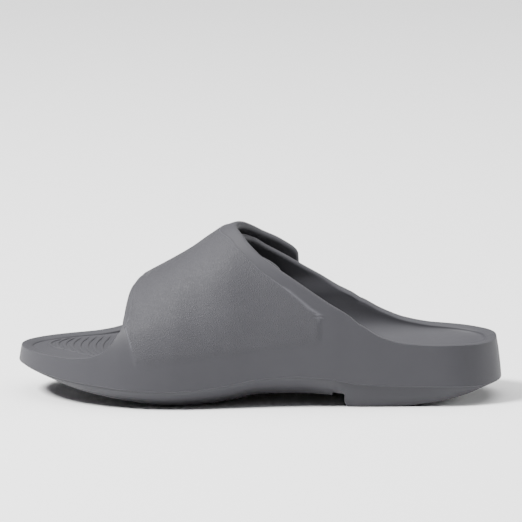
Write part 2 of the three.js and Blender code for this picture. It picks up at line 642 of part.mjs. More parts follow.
// The groove across the sole in front of the heel pad, with the pad's rounded corner.
function flexGroove() {
  const rear = xAt(HEEL_PAD_FRONT);
  const front = rear - FLEX_GROOVE_WIDTH;
  const shape = new THREE.Shape();
  shape.moveTo(front, -5);
  shape.lineTo(rear + HEEL_PAD_CORNER + 5, -5);
  shape.quadraticCurveTo(rear, 0, rear, HEEL_PAD_CORNER + 1);
  shape.lineTo(rear, FLEX_GROOVE_HEIGHT);
  shape.lineTo(front, FLEX_GROOVE_HEIGHT);
  shape.closePath();
  const settings = { depth: 2 * BALL_WIDTH, bevelEnabled: false, curveSegments: 6 };
  const groove = new THREE.ExtrudeGeometry(shape, settings);
  groove.translate(0, 0, -BALL_WIDTH);
  groove.rotateX(Math.PI / 2);
  return indexed(groove);
}

const foam = new THREE.MeshStandardMaterial({ color: 0x5d5d62, roughness: 0.6, metalness: 0 });
const hook = new THREE.MeshStandardMaterial({ color: 0x3b3b40, roughness: 0.9, metalness: 0 });
const loop = new THREE.MeshStandardMaterial({ color: 0x44444a, roughness: 0.95, metalness: 0 });

function named(name, geometry, material) {
  const mesh = new THREE.Mesh(geometry, material);
  mesh.name = name;
  return mesh;
}

const body = toSolid(mouldedBody()).subtract(toSolid(flexGroove()));
const sandal = new THREE.Group();
sandal.add(named("moulded_sandal", toGeometry(body), foam));
const loopTop = PAD_SEAT + PAD_THICKNESS;
const hookTop = loopTop + PAD_SEAT + PAD_THICKNESS;
sandal.add(named("loop_pad", pad(innerFlap, LOOP_PAD, PAD_SEAT, loopTop), loop));
sandal.add(named("hook_pad", pad(outerFlap, HOOK_PAD, loopTop + PAD_SEAT, hookTop), hook));

// The sandal stands on the floor with the middle of its bounding box over the origin.
const box = new THREE.Box3().setFromObject(sandal);
const middle = box.getCenter(new THREE.Vector3());
for (const piece of sandal.children) piece.geometry.translate(-middle.x, -middle.y, -box.min.z);

export default sandal;
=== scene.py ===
# A moulded foam slide sandal for the left foot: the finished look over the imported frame.
# The moulding is worked out again from the same sizes and tables as the part's source, with
# finer divisions, the raised panel on the strap, the grain and the ribs of the toe bed.
# Lengths are in millimetres until a mesh is made. Toe to -X, lateral side to -Y, +Z up.
import math
from bisect import bisect_right
from functools import lru_cache

import bmesh
import bpy
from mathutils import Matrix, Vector


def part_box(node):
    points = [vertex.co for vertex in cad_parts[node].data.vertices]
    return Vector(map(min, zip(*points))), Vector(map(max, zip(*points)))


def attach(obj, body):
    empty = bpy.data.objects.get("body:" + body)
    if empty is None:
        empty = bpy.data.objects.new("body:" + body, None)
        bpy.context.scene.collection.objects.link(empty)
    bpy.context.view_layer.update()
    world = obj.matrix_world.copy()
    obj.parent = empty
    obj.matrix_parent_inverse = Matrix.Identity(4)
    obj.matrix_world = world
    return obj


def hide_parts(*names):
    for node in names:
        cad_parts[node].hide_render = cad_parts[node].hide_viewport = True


MM = 0.001

# Driving dimensions
LENGTH = 290
BALL_WIDTH = 110
HEEL_RIM_HEIGHT = 37.2
BED_HEIGHT = 30.5
DOME_HEIGHT = 95.5
RIM_WALL = 7
RIM_FLATNESS = 0.22
STRAP_WALL = 5
INNER_FLAP_WALL = 4.4
FLAP_FLATNESS = 0.75
PAD_THICKNESS = 1
PAD_SEAT = 0.3
FLAP_CORNER = 9
LIP_UNDERCUT = 1.2
FLEX_GROOVE_WIDTH = 7.2
FLEX_GROOVE_HEIGHT = 8.4
HEEL_PAD_CORNER = 3
TREAD_SHARE = 0.4  # the step under the lip, at most this share of the band under the lip
BAND_BEND = (0.38, 0.5)  # where that band bends, as shares of its way in and down
FOOT_EASING = 0.6
FOOT_CORNER = (0.35, 0.65)  # the point that rounds the foot of that band
LIP_ROUND = ((0.35, 0.25), (1, 0.55))  # points under the lip, as shares inwards and down
LIP_EASING = 0.1
FLARE_LIMIT = 0.5  # most that the bed's side flares out, as a share of the rim's wall
GROOVE_OVERRUN = 5  # how far the cutter reaches past the tread
GROOVE_ROUND = 1  # radius of the groove's roof corners

# The strap's grained panel
PANEL_HEIGHT = 0.65  # how far it stands out
PANEL_REAR_BORDER = 5.6  # from the strap's rear edge to the panel
PANEL_FRONT_BORDER = 2.6  # from the strap's front edge to the panel
PANEL_STEP = 0.7  # width of the panel's step
PANEL_CORNER_STEP = 2.4  # its width round the panel's low rear corner
PANEL_CORNER_TOP = 0.1  # share of the flap up to which that corner is soft
PANEL_CORNER_FADE = 0.04
PANEL_LOW_STEP = 5  # width of the panel's soft lower border
PANEL_LOW_REAR = 40.5  # height of that border over the floor at its rear end
PANEL_LOW_FRONT = 27.0  # and at its front end
PANEL_LOW_BEND = 0.8  # how it falls between them
PANEL_END_BORDER = 7  # from the flap's free end to the panel
PANEL_REAR_END = 0.374  # where the panel's rear border meets the low one
PANEL_FRONT_LEAN = 0.28  # how far the front border leans back below the strap's base
PANEL_LOW_REACH = 0.6  # how far round the dome the lower border can matter
PANEL_END_STEP = 2.5  # width of the step at the panel's low rear end
SLANT_STEP = 0.02  # between the rows that tell how far the strap's rear edge leans
FLAP_SPAN = 150  # from the outer flap's base to its free end, over the dome

# Columns of the flap's mesh behind the panel, across each of its borders and in front of it,
# and the share of the flap over which they come to follow the borders
REAR_COLUMNS = 5
STEP_COLUMNS = 2
FRONT_COLUMNS = 3
COLUMNS_ALIGNED = 0.12

# The pads of the closure, as shares of the flap that each is bonded to: from the flap's base
# to its free end, and from its rear edge to its front edge.
HOOK_PAD = ((0.5, 0.97), (0.09, 0.8))
LOOP_PAD = ((0.3, 0.93), (0.06, 0.8))
PAD_EASING = 0.004  # how far a pad's faces are drawn in from its edges

# The ribs of the toe bed, from the toe inwards
BED_RIB_PITCH = 4.5
BED_RIB_COUNT = 9
BED_RIB_HEIGHT = 0.55
BED_RIB_WIDTH = 2.1
BED_RIB_FIRST = (-127, 13)
BED_RIB_RADIUS = 17
BED_RIB_RADIUS_STEP = 10
BED_RIB_SWEEP = (105, 150)  # where each arc starts and how far it turns, in degrees
BED_RIB_POINTS = 260  # dropped on the bed along each arc
BED_RIB_SECTIONS = 90
BED_RIB_TAPER = 0.12  # share of its length over which a rib thins at each end
BED_LEVEL = 0.975  # least upward lean of the bed under a rib
BED_CLEARANCE = 3.0  # how far a rib's place stays under the bed's height at the heel
BED_RIB_TIP = 0.05  # thickness of a rib's ends, as a share of its middle
BED_RIB_ROUND = 12  # points round a rib's section
CAST_HEIGHT = 40  # from here over an arc the bed is looked for, as far down as the reach
CAST_REACH = 30

# Shares of the sole's length from the heel
HEEL_POLE = 0.14
TOE_POLE = 0.85
STRAP_REAR = 0.295
LATERAL_FRONT = 0.779
MEDIAL_FRONT = 0.745
HEEL_PAD_FRONT = 0.322
HEEL_ROUND = (0.17, 2.5)
TOE_ROUND = (0.29, 1.95)
BASE_AROUND = 0.14  # share of the dome over which the flap thins above its base
LIFT_AFTER_BASE = 0.05  # where the outer flap starts to rise over the inner one
LIFT_COMPLETE = 0.95
END_OVERRUN = 0.3

# The sole, a row for each station from heel to toe, as in the part's source.
SOLE_COLUMNS = (
    "at", "centre", "ridge", "lateral", "medial", "lip", "outer_rim", "inner_rim",
    "bed", "ground", "bevel", "cup", "lift",
)
SOLE = (
    (0.0, -0.01, -0.01, 0.336, 0.332, 0.335, 0.99, 1.0, 1.0, 0.305, 0.03, 2.2, 0.0),
    (0.03, -0.01, -0.01, 0.339, 0.335, 0.32, 0.99, 1.0, 1.0, 0.275, 0.035, 2.2, 0.0),
    (0.07, -0.011, -0.01, 0.343, 0.338, 0.33, 1.0, 1.01, 0.99, 0.172, 0.045, 2.2, 0.0),
    (0.14, -0.012, -0.01, 0.348, 0.342, 0.35, 1.01, 1.03, 0.985, 0.058, 0.045, 2.3, 0.02),
    (0.2, -0.015, 0.0, 0.356, 0.344, 0.357, 1.045, 1.11, 0.985, 0.006, 0.045, 2.4, 0.05),
    (0.25, -0.02, 0.01, 0.36, 0.347, 0.374, 1.155, 1.26, 0.99, 0.0, 0.043, 2.7, 0.09),
    (0.295, -0.025, 0.02, 0.363, 0.351, 0.4, 1.36, 1.445, 0.99, 0.0, 0.045, 3.0, 0.12),
    (0.322, -0.027, 0.025, 0.365, 0.353, 0.435, 1.43, 1.5, 0.985, 0.0, 0.058, 3.0, 0.14),
    (0.347, -0.029, 0.03, 0.367, 0.356, 0.475, 1.445, 1.505, 0.98, 0.163, 0.085, 3.1, 0.15),
    (0.42, -0.031, 0.04, 0.376, 0.366, 0.523, 1.42, 1.45, 0.955, 0.168, 0.135, 3.2, 0.14),
    (0.5, -0.029, 0.045, 0.398, 0.392, 0.483, 1.39, 1.4, 0.905, 0.158, 0.14, 3.4, 0.09),
    (0.543, -0.025, 0.045, 0.42, 0.415, 0.425, 1.38, 1.4, 0.875, 0.095, 0.135, 3.5, 0.05),
    (0.59, -0.018, 0.045, 0.447, 0.444, 0.36, 1.37, 1.38, 0.85, 0.035, 0.13, 3.6, 0.02),
    (0.64, -0.01, 0.043, 0.476, 0.473, 0.325, 1.38, 1.35, 0.83, 0.0, 0.125, 3.7, 0.0),
    (0.685, -0.004, 0.04, 0.494, 0.49, 0.315, 1.39, 1.3, 0.82, 0.0, 0.12, 3.8, 0.0),
    (0.745, 0.002, 0.035, 0.501, 0.495, 0.33, 1.4, 1.12, 0.825, 0.068, 0.105, 3.7, 0.0),
    (0.779, 0.003, 0.032, 0.5, 0.492, 0.345, 1.25, 0.91, 0.83, 0.108, 0.095, 3.5, 0.0),
    (0.8, 0.005, 0.03, 0.498, 0.489, 0.357, 1.02, 0.845, 0.84, 0.135, 0.085, 3.3, 0.0),
    (0.825, 0.008, 0.03, 0.497, 0.486, 0.372, 0.875, 0.805, 0.845, 0.17, 0.075, 3.2, 0.0),
    (0.855, 0.012, 0.03, 0.498, 0.482, 0.393, 0.805, 0.78, 0.85, 0.215, 0.068, 3.0, 0.0),
    (0.9, 0.02, 0.032, 0.5, 0.475, 0.425, 0.775, 0.775, 0.86, 0.295, 0.06, 3.0, 0.0),
    (0.95, 0.035, 0.04, 0.505, 0.463, 0.473, 0.775, 0.775, 0.87, 0.412, 0.05, 3.0, 0.0),
    (1.0, 0.05, 0.05, 0.51, 0.45, 0.525, 0.78, 0.78, 0.88, 0.495, 0.03, 3.0, 0.0),
)
DOME_COLUMNS = ("at", "height", "upright", "broad", "lean")
DOME = (
    (0.0, 0.935, 0.5, 0.6, 0.07),
    (0.2, 1.02, 0.52, 0.58, 0.06),
    (0.293, 1.07, 0.55, 0.58, 0.05),
    (0.362, 1.085, 0.55, 0.59, 0.05),
    (0.431, 1.07, 0.55, 0.6, 0.06),
    (0.5, 1.025, 0.56, 0.6, 0.07),
    (0.55, 0.995, 0.58, 0.6, 0.07),
    (0.584, 0.932, 0.6, 0.62, 0.08),
    (0.625, 0.842, 0.62, 0.64, 0.09),
    (0.666, 0.765, 0.67, 0.68, 0.09),
    (0.707, 0.693, 0.73, 0.72, 0.1),
    (0.748, 0.622, 0.8, 0.77, 0.1),
    (0.79, 0.575, 0.86, 0.82, 0.1),
    (0.86, 0.54, 0.85, 0.85, 0.1),
    (1.0, 0.54, 0.8, 0.8, 0.15),
)
EDGE_COLUMNS = ("up", "rear", "front")
OUTER_EDGES = (
    (0.0, 0.295, 0.779),
    (0.046, 0.354, 0.7745),
    (0.126, 0.416, 0.7705),
    (0.23, 0.478, 0.765),
    (0.305, 0.509, 0.759),
    (0.385, 0.531, 0.752),
    (0.51, 0.547, 0.742),
    (0.58, 0.543, 0.739),
    (0.66, 0.53, 0.736),
    (0.745, 0.502, 0.732),
    (0.82, 0.46, 0.727),
    (0.88, 0.43, 0.721),
    (1.0, 0.428, 0.708),
)
INNER_EDGES = (
    (0.0, 0.295, 0.745),
    (0.032, 0.338, 0.737),
    (0.082, 0.377, 0.734),
    (0.162, 0.426, 0.7335),
    (0.25, 0.468, 0.735),
    (0.32, 0.494, 0.736),
    (0.39, 0.511, 0.735),
    (0.46, 0.528, 0.732),
    (0.56, 0.54, 0.727),
    (0.66, 0.542, 0.722),
    (0.76, 0.529, 0.718),
    (0.84, 0.506, 0.714),
    (0.9, 0.478, 0.71),
    (0.95, 0.46, 0.707),
    (1.0, 0.452, 0.705),
)

# How finely the surfaces are divided, and the small steps that tell how they lean
FAN_STEPS = 26
BED_STEPS = 30
WALL_STEPS = 18
FLOOR_STEPS = 5
RIM_STEPS = 8
FLAP_STEPS = 90
CORNER_STEPS = 8
CORNER_SHARE = 0.048
PAD_STEPS = (60, 32)
PAD_CORNER_STEPS = 12
BAND_STEPS = (0.25, 0.5, 0.75, 1)
FOOT_STEPS = (0.3, 0.6, 0.9)
NORMAL_STEP = 0.005
STATION_STEP = 0.002
ANGLE_STEP = 0.02
STATION_SLACK = 1e-6
WALL_HALVINGS = 26
FAN_HALVINGS = 40
FAN_OVERRUN = 0.2
WELD_DIGITS = 3
SHARP_ANGLE = math.radians(38)
STATIONS = (
    (HEEL_POLE, STRAP_REAR, 26),
    (STRAP_REAR, HEEL_PAD_FRONT, 6),
    (HEEL_PAD_FRONT, MEDIAL_FRONT, 80),
    (MEDIAL_FRONT, LATERAL_FRONT, 18),
    (LATERAL_FRONT, TOE_POLE, 12),
)

FLAP_STACK = STRAP_WALL + 2 * PAD_THICKNESS + 3 * PAD_SEAT
RIM_CROWN = RIM_FLATNESS * RIM_WALL / 2
LATERAL = -1
MEDIAL = 1

# The foam: linear colours, and lengths in metres
FOAM_COLOUR = (0.046, 0.0455, 0.0515)
FOAM_DARKER = (0.039, 0.0385, 0.044)
GRAIN_SIZE = 1.15 * MM  # pebbles of the strap's panel
SKIN_SIZE = 0.45 * MM  # fine matte skin of the foam
MOTTLE_SIZE = 22 * MM
SKIN_DEPTH = 0.06 * MM
GRAIN_DEPTH = 0.2 * MM
BEAD_DEPTH = 0.35 * MM  # the bead along the panel's border
BEAD_HIGHLIGHT = 0.8  # how much lighter the bead is painted: a painted highlight along the panel's border
BEAD_FADE = (45 * MM, 49 * MM)  # heights over which it appears, at the middle of the length
BEAD_FADE_SLOPE = 0.15

# The photograph's camera, in the moulding's own millimetres
CAMERA_AIM = Vector((0.8, 0, 80.55))
CAMERA_DISTANCE = 3000
CAMERA_ELEVATION = math.radians(10.6)
CAMERA_AZIMUTH = math.radians(2)
CAMERA_LENS = 345.9
CAMERA_SENSOR = 36

# Soft lights, in metres and watts: name, place, aim, size and power
STUDIO_LIGHTS = (
    ("overhead_softbox", (0, 0.5, 2.6), (0, 0.5, 0), (4.2, 3.8), 145),
    ("front_softbox", (-1.6, -0.75, 2.2), (0, 0, 0.05), (0.7, 0.7), 215),
    ("heel_side_softbox", (1.9, 0.3, 0.7), (0.1, 0, 0.03), (0.6, 0.5), 20),
)
SKY_STRENGTH = 0.05
FLOOR_REACH = 9.0
FIBRE_SCALE = 900.0


def column(rows, place):
    """A monotone cubic through one column of a table, so that no value overshoots its rows."""
    x = [row[0] for row in rows]
    y = [row[place] for row in rows]
    n = len(x)
    slope = [(y[i + 1] - y[i]) / (x[i + 1] - x[i]) for i in range(n - 1)]
    tangent = [slope[0]]
    for i in range(1, n - 1):
        if slope[i - 1] * slope[i] <= 0:
            tangent.append(0.0)
            continue
        before = x[i] - x[i - 1]
        after = x[i + 1] - x[i]
        weights = (2 * after + before) / slope[i - 1] + (after + 2 * before) / slope[i]
        tangent.append(3 * (before + after) / weights)
    tangent.append(slope[-1])

    def value(at):
        where = min(max(at, x[0]), x[-1])
        k = min(max(bisect_right(x, where) - 1, 0), n - 2)
        h = x[k + 1] - x[k]
        s = (where - x[k]) / h
        return (
            (1 + 2 * s) * (1 - s) ** 2 * y[k]
            + s * (1 - s) ** 2 * h * tangent[k]
            + s * s * (3 - 2 * s) * y[k + 1]
            + s * s * (s - 1) * h * tangent[k + 1]
        )

    return value


def columns(rows, names):
    return {name: column(rows, place) for place, name in enumerate(names) if place}


sole = columns(SOLE, SOLE_COLUMNS)
dome = columns(DOME, DOME_COLUMNS)
outer_edges = columns(OUTER_EDGES, EDGE_COLUMNS)
inner_edges = columns(INNER_EDGES, EDGE_COLUMNS)


def mix(a, b, share):
    return a + (b - a) * share


def clamp(value, low=0.0, high=1.0):
    return min(max(value, low), high)


def smooth(share):
    s = clamp(share)
    return s * s * (3 - 2 * s)


def halved(low, high, rounds, below):
    """Closes in on the place between low and high where below stops being true."""
    for _ in range(rounds):
        middle = (low + high) / 2
        if below(middle):
            low = middle
        else:
            high = middle
    return (low + high) / 2


def x_at(at):
    return LENGTH * (0.5 - at)


def at_x(x):
    return 0.5 - x / LENGTH


def ground_at(x):
    return HEEL_RIM_HEIGHT * sole["ground"](at_x(x))


def end_rounding(at):
    """How far the rounded ends draw the outline in, from 0 at the very end to 1."""
    def quarter(from_end, length, power):
        share = clamp(1 - from_end / length)
        return (1 - share ** power) ** (1 / power)

    return quarter(at, *HEEL_ROUND) * quarter(1 - at, *TOE_ROUND)


def outline(at, side):
    """The sole's widest line in plan, on one side."""
    half = sole["lateral"](at) if side == LATERAL else sole["medial"](at)
    return x_at(at), BALL_WIDTH * (sole["centre"](at) + side * half * end_rounding(at))


class Rib:
    """A half section of the sandal, from its spine out to the outline."""

    def __init__(self, spine, at, side):
        self.spine = spine
        self.at = at
        self.side = side
        x, y = outline(at, side)
        dx = x - spine[0]
        dy = y - spine[1]
        self.reach = math.hypot(dx, dy)
        self.direction = (dx / self.reach, dy / self.reach)
        self.low = HEEL_RIM_HEIGHT * sole["lip"](at)
        self.high = DOME_HEIGHT * dome["height"](at) - self.low
        self.rise = dome["upright"](at) * self.high
        self.drawn_in = self.reach - dome["lean"](at) * self.rise
        self.broad = self.reach * dome["broad"](at)
        rim = sole["outer_rim"](at) if side == LATERAL else sole["inner_rim"](at)
        self.rim_height = HEEL_RIM_HEIGHT * rim

    def wall(self, share):
        """The outer wall's distance and height, up from the lip and over to the ridge."""
        s = share
        t = 1 - s
        w0, w1, w2, w3 = t * t * t, 3 * t * t * s, 3 * t * s * s, s * s * s
        distance = w0 * self.reach + w1 * self.drawn_in + w2 * self.broad
        return distance, self.low + w1 * self.rise + (w2 + w3) * self.high

    def wall_share(self, z):
        return halved(0.0, 1.0, WALL_HALVINGS, lambda share: self.wall(share)[1] < z)

    def place(self, distance, z):
        return Vector((
            self.spine[0] + self.direction[0] * distance,
            self.spine[1] + self.direction[1] * distance,
            z,
        ))

    def wall_point(self, share):
        return self.place(*self.wall(share))

    def base_share(self):
        return self.wall_share(self.rim_height - RIM_CROWN)

    def wall_normal(self, share):
        before, after = self.neighbours()
        along = after.wall_point(share) - before.wall_point(share)
        above = self.wall_point(min(share + NORMAL_STEP, 1))
        up = above - self.wall_point(share - NORMAL_STEP)
        normal = along.cross(up).normalized()
        outwards = Vector((self.direction[0], self.direction[1], 1))
        return -normal if normal.dot(outwards) < 0 else normal


class StraightRib(Rib):
    def __init__(self, at, side):
        super().__init__((x_at(at), BALL_WIDTH * sole["ridge"](at)), at, side)

    def neighbours(self):
        places = (self.at - STATION_STEP, self.at + STATION_STEP)
        return tuple(StraightRib(at, self.side) for at in places)


class FanRib(Rib):
    """The rib that leaves a pole at an angle: 0 to the lateral side, half a turn to the medial."""

    def __init__(self, pole, end, angle):
        self.fan = (pole, end, angle)
        spine = (x_at(pole), BALL_WIDTH * sole["ridge"](pole))

        def where(s):
            return (mix(pole, end, s), LATERAL) if s <= 1 else (mix(end, pole, s - 1), MEDIAL)

        def before_angle(s):
            x, y = outline(*where(s))
            ahead = (spine[0] - x) if end > pole else (x - spine[0])
            turned = math.atan2(ahead, spine[1] - y)
            if turned < -math.pi / 2:
                turned += 2 * math.pi
            return turned < angle

        met = halved(-FAN_OVERRUN, 2 + FAN_OVERRUN, FAN_HALVINGS, before_angle)
        super().__init__(spine, *where(met))

    def neighbours(self):
        pole, end, angle = self.fan
        return FanRib(pole, end, angle - ANGLE_STEP), FanRib(pole, end, angle + ANGLE_STEP)


class Pair:
    """The outer and inner point where a wall ends, before its rounded edge."""

    def __init__(self, outer, inner, flatness):
        self.outer = outer
        self.inner = inner
        self.flatness = flatness

    def middle(self):
        return (self.outer + self.inner) / 2


def rim_pair(rib):
    share = rib.base_share()
    outer = rib.wall_point(share)
    return Pair(outer, outer - rib.wall_normal(share) * RIM_WALL, RIM_FLATNESS), share


def bed_point(rib, turn, top):
    power = 2 / sole["cup"](rib.at)
    outwards = math.sin(turn) ** power
    rise = 1 - max(math.cos(turn), 0) ** power
    low_x = rib.spine[0] + rib.direction[0] * rib.reach * outwards
    low = BED_HEIGHT * sole["bed"](at_x(low_x))
    side_lift = sole["lift"](rib.at) if rib.side == MEDIAL else 0
    z = mix(low, top.z, rise) + BED_HEIGHT * side_lift * outwards ** 3 * (1 - rise)
    top_reach = math.hypot(top.x - rib.spine[0], top.y - rib.spine[1])
    outer_top = rib.wall(rib.wall_share(top.z))[0]
    outer_here = rib.wall(rib.wall_share(max(z, rib.low)))[0]
    flare = min(outer_here - outer_top, FLARE_LIMIT * RIM_WALL)
    flat = rib.place(outwards * (top_reach + flare * (1 - rise)), z)
    planar_top = rib.place(top_reach, top.z)
    return flat + (top - planar_top) * outwards ** 4


def bed_curve(rib):
    top = rim_pair(rib)[0].inner
    return [bed_point(rib, j / BED_STEPS * math.pi / 2, top) for j in range(BED_STEPS + 1)]


def outside_curve(rib):
    """The outside of a rib, from the rim down over the lip and bevel and in to the spine."""
    top = rib.base_share()
    points = []
    weights = []
    for j in range(WALL_STEPS + 1):
        share = top * (1 - j / WALL_STEPS)
        point = rib.wall_point(share)
        weight = wall_panel_share(rib, point.z)
        if weight:
            point = point + rib.wall_normal(share) * PANEL_HEIGHT * weight
        points.append(point)
        weights.append(weight)
    distance, lip = rib.wall(0)
    foot = rib.reach - BALL_WIDTH * sole["bevel"](rib.at)

    def at(inwards):
        return ground_at(rib.spine[0] + rib.direction[0] * inwards)

    tread = min(LIP_UNDERCUT, TREAD_SHARE * (lip - at(foot)))
    for inwards, down in LIP_ROUND:
        points.append(rib.place(distance - inwards * LIP_UNDERCUT, lip - down * tread))
    start = (distance - LIP_UNDERCUT, lip - tread)
    points.append(rib.place(start[0] - LIP_EASING, start[1] - LIP_EASING))
    band = (mix(start[0], foot, BAND_BEND[0]), mix(start[1], at(foot), BAND_BEND[1]))
    end = (foot + FOOT_EASING, at(foot) + tread)
    for first, last, steps in ((start, band, BAND_STEPS), (band, end, FOOT_STEPS)):
        for s in steps:
            points.append(rib.place(mix(first[0], last[0], s), mix(first[1], last[1], s)))
    corner = (mix(end[0], foot, FOOT_CORNER[0]), mix(end[1], at(foot), FOOT_CORNER[1]))
    points.append(rib.place(*corner))
    for j in range(FLOOR_STEPS + 1):
        inwards = (foot - tread) * (1 - j / FLOOR_STEPS)
        points.append(rib.place(inwards, at(inwards)))
    return points, weights + [0.0] * (len(points) - len(weights))


def dome_rib(x, around):
    """The rib and the share of its wall at a place on the dome that the strap follows."""
    if around <= 1:
        return StraightRib(at_x(x), LATERAL), around
    return StraightRib(at_x(x), MEDIAL), 2 - around


@lru_cache(maxsize=None)
def base_share(x, side):
    return StraightRib(at_x(x), side).base_share()


class Flap:
    """One flap of the strap, from its base on the side wall to its free end over the dome."""

    def __init__(self, side, wall, edges, end_rear, end_front):
        self.side = side
        self.wall = wall
        self.rear = edges["rear"]
        self.front = edges["front"]
        self.end_rear = end_rear
        self.end_front = end_front
        self.corner = 1 - CORNER_SHARE

    def rows(self):
        rows = [self.corner * i / FLAP_STEPS for i in range(FLAP_STEPS + 1)]
        turns = (i / CORNER_STEPS * math.pi / 2 for i in range(1, CORNER_STEPS + 1))
        return rows + [mix(self.corner, 1, math.sin(turn)) for turn in turns]

    def edges(self, up):
        past = clamp((up - self.corner) / (1 - self.corner))
        inset = FLAP_CORNER / LENGTH * (1 - math.sqrt(1 - past * past))
        return self.rear(up) + inset, self.front(up) - inset

    def around(self, x, up):
        base = base_share(x, self.side)
        start = base if self.side == LATERAL else 2 - base
        span = (at_x(x) - self.rear(1)) / (self.front(1) - self.rear(1))
        end = mix(self.end_rear, self.end_front, clamp(span, -END_OVERRUN, 1 + END_OVERRUN))
        return mix(start, end, up)

    def point(self, x, around, relief=0.0):
        rib, share = dome_rib(x, around)
        normal = rib.wall_normal(share)
        from_base = around if self.side == LATERAL else 2 - around
        thin = smooth((from_base - base_share(x, self.side)) / BASE_AROUND)
        thickness = mix(RIM_WALL, self.wall, thin)
        lift = flap_lift(x, around) - (0 if self.side == LATERAL else FLAP_STACK)
        outer = rib.wall_point(share) + normal * lift
        inner = outer - normal * thickness
        return Pair(outer + normal * relief, inner, mix(RIM_FLATNESS, FLAP_FLATNESS, thin))


outer_flap = Flap(LATERAL, STRAP_WALL, outer_edges, end_rear=1.68, end_front=1.5)
inner_flap = Flap(MEDIAL, INNER_FLAP_WALL, inner_edges, end_rear=0.5, end_front=0.6)


def flap_lift(x, around):
    """How far the outer flap lies over the dome, to leave room for the inner flap and pads."""
    start = base_share(x, LATERAL) + LIFT_AFTER_BASE
    return FLAP_STACK * smooth((around - start) / (LIFT_COMPLETE - start))


def spread(shares, borders):
    """Moves evenly spread columns so that several lie across each border of the panel."""
    n = len(shares) - 1
    rear, front, step = borders
    knots = [
        (0, 0.0),
        (REAR_COLUMNS, rear),
        (REAR_COLUMNS + STEP_COLUMNS, rear + step),
        (n - FRONT_COLUMNS - STEP_COLUMNS, 1 - front - step),
        (n - FRONT_COLUMNS, 1 - front),
        (n, 1.0),
    ]
    placed = []
    for j in range(n + 1):
        for (a, low), (b, high) in zip(knots, knots[1:]):
            if a <= j <= b:
                placed.append(mix(low, high, (j - a) / (b - a)))
                break
    return placed


def panel_share(from_rear, from_front, from_end, rear_step):
    """How far inside the strap's raised panel a place is: 0 outside, 1 inside."""
    sides = smooth(from_rear / rear_step + 0.5) * smooth(from_front / PANEL_STEP + 0.5)
    return sides * smooth(from_end / PANEL_STEP + 0.5)


def above_low_border(at, z):
    """The panel fades out towards its soft lower border on the side wall."""
    span = clamp((at - PANEL_REAR_END) / (LATERAL_FRONT - PANEL_REAR_END))
    border = mix(PANEL_LOW_REAR, PANEL_LOW_FRONT, span ** PANEL_LOW_BEND)
    rear_end = smooth((at - PANEL_REAR_END) * LENGTH / PANEL_END_STEP + 0.5)
    return smooth((z - border) / PANEL_LOW_STEP + 0.5) * rear_end


def wall_panel_share(rib, z):
    """The panel's weight on the side wall, below the base of the outer flap."""
    if rib.side == MEDIAL or not STRAP_REAR < rib.at < LATERAL_FRONT:
        return 0.0
    below = max(rib.rim_height - z, 0)
    from_front = (LATERAL_FRONT - rib.at) * LENGTH - PANEL_FRONT_BORDER
    from_front -= PANEL_FRONT_LEAN * below
    return smooth(from_front / PANEL_STEP + 0.5) * above_low_border(rib.at, z)


def rear_slant(flap, up):
    """How much longer the strap's rear edge is than its rise, near one row."""
    above = min(up + SLANT_STEP, 1)
    below = max(up - SLANT_STEP, 0)
    run = (flap.rear(above) - flap.rear(below)) * LENGTH
    rise = (above - below) * FLAP_SPAN
    return math.hypot(run, rise) / rise


def flap_grid(flap, base_shares):
    """Rows of point pairs from the flap's base to its free end, with the panel's weight."""
    grid = []
    for up in flap.rows():
        rear, front = flap.edges(up)
        width = (front - rear) * LENGTH
        shares = base_shares
        if flap.side == LATERAL:
            slant = rear_slant(flap, up)
            low_corner = smooth((up - PANEL_CORNER_TOP) / PANEL_CORNER_FADE)
            rear_step = mix(PANEL_CORNER_STEP, PANEL_STEP, low_corner)
            borders = (
                (PANEL_REAR_BORDER * slant - PANEL_STEP / 2) / width,
                (PANEL_FRONT_BORDER - PANEL_STEP / 2) / width,
                PANEL_STEP / width,
            )
            placed = spread(base_shares, borders)
            from_base = smooth(up / COLUMNS_ALIGNED)
            shares = [mix(a, b, from_base) for a, b in zip(base_shares, placed)]
        row = []
        for along in shares:
            x = x_at(mix(rear, front, along))
            around = flap.around(x, up)
            weight = 0.0
            if flap.side == LATERAL:
                weight = panel_share(
                    along * width / slant - PANEL_REAR_BORDER,
                    (1 - along) * width - PANEL_FRONT_BORDER,
                    (1 - up) * FLAP_SPAN - PANEL_END_BORDER,
                    rear_step,
                )
                rib, share = dome_rib(x, around)
                if around < PANEL_LOW_REACH:
                    weight *= above_low_border(rib.at, rib.wall(share)[1])
            pair = flap.point(x, around, PANEL_HEIGHT * weight)
            pair.weight = weight
            row.append(pair)
        grid.append(row)
    return grid


class Skin:
    """Collects grids of points into one closed mesh, with a grain weight for each point."""

    def __init__(self):
        self.points = []
        self.weights = []
        self.faces = []
        self.index = {}

    def vertex(self, point, weight):
        key = tuple(round(value, WELD_DIGITS) for value in point)
        if key not in self.index:
            self.index[key] = len(self.points)
            self.points.append(point)
            self.weights.append(weight)
        return self.index[key]

    def grid(self, rows, flipped=False, weights=None):
        numbered = []
        for i, row in enumerate(rows):
            numbered.append([
                self.vertex(point, weights[i][j] if weights else 0.0)
                for j, point in enumerate(row)
            ])
        for low, high in zip(numbered, numbered[1:]):
            for j in range(len(low) - 1):
                corners = [low[j], high[j], high[j + 1], low[j + 1]]
                face = [c for k, c in enumerate(corners) if c != corners[k - 1]]
                if len(set(face)) < 3:
                    continue
                self.faces.append(face[::-1] if flipped else face)

    def mesh(self, name, shift):
        mesh = bpy.data.meshes.new(name)
        vertices = [tuple((Vector(p) + shift) * MM) for p in self.points]
        mesh.from_pydata(vertices, [], self.faces)
        grain = mesh.attributes.new("panel", "FLOAT", "POINT")
        grain.data.foreach_set("value", self.weights)
        mesh.validate()
        mesh.shade_smooth()
        return mesh


